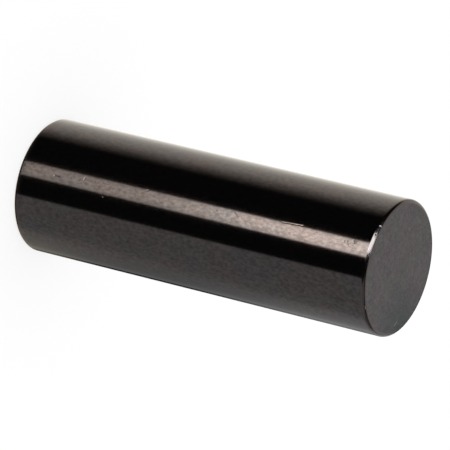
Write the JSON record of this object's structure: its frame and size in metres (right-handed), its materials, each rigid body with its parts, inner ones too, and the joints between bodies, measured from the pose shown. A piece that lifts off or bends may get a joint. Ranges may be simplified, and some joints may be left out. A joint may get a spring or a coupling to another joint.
{
  "type": "pin gauge",
  "caption": "Plain cylindrical pin gauge: a solid black-oxide steel pin, ground and lapped, with the edge of each end rounded, for checking a hole's size.",
  "frame": {"origin": "centre of the bottom end face, on the surface that the pin stands on", "axes": "+Z along the pin's axis, from the bottom end face to the top one; X and Y are any two directions across it"},
  "size_m": [0.0172, 0.0172, 0.0508],
  "materials": {
    "black_oxide_steel": "polished"
  },
  "bodies": {
    "root": {"gauge_pin": "black_oxide_steel"}
  },
  "joints": []
}
